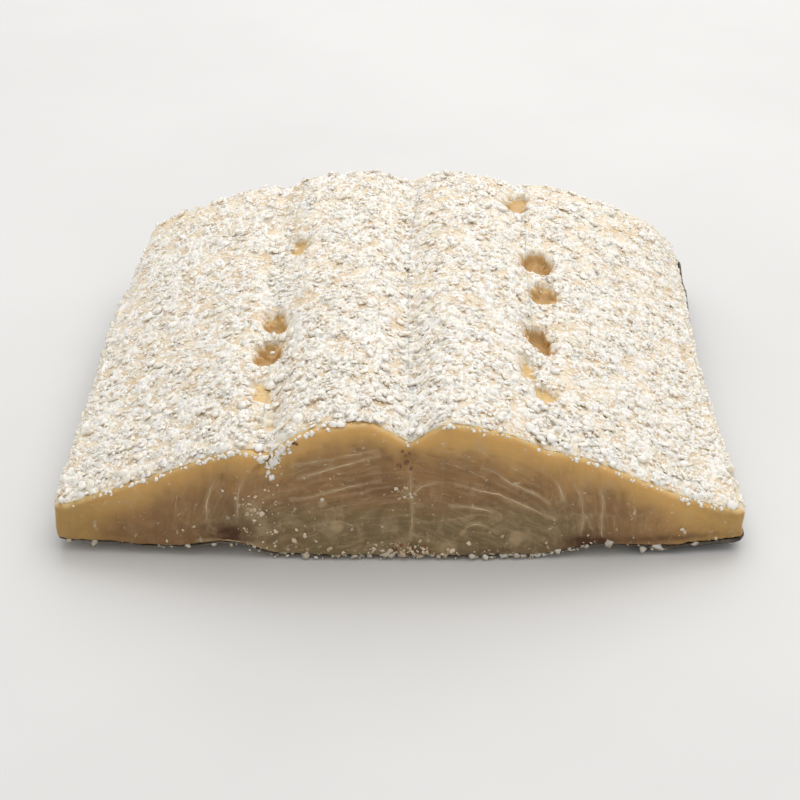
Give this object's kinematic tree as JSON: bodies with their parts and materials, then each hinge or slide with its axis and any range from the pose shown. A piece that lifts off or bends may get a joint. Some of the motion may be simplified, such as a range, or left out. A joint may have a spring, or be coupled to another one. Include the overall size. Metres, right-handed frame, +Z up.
{
  "type": "salted dried cod piece",
  "caption": "Thick centre cut of salted dried cod fillet, lying skin side down, its top crusted with coarse salt, with a plain cut at the front and at the rear.",
  "frame": {"origin": "on the table under the middle of the piece's box", "axes": "+X across the fillet from the left flank to the right one, +Y along the fish from the front cut to the rear cut, +Z up out of the salted top"},
  "size_m": [0.1594, 0.1414, 0.0361],
  "materials": {
    "cod_flesh": "semi-translucent firm dried flesh, amber at the dry rim and grey-brown inside",
    "cod_skin": "thin dark mottled fish skin, slightly glossy",
    "salt": "coarse white salt crystals, translucent with small glints"
  },
  "bodies": {
    "root": {"flesh": "cod_flesh", "skin": "cod_skin"}
  },
  "joints": []
}
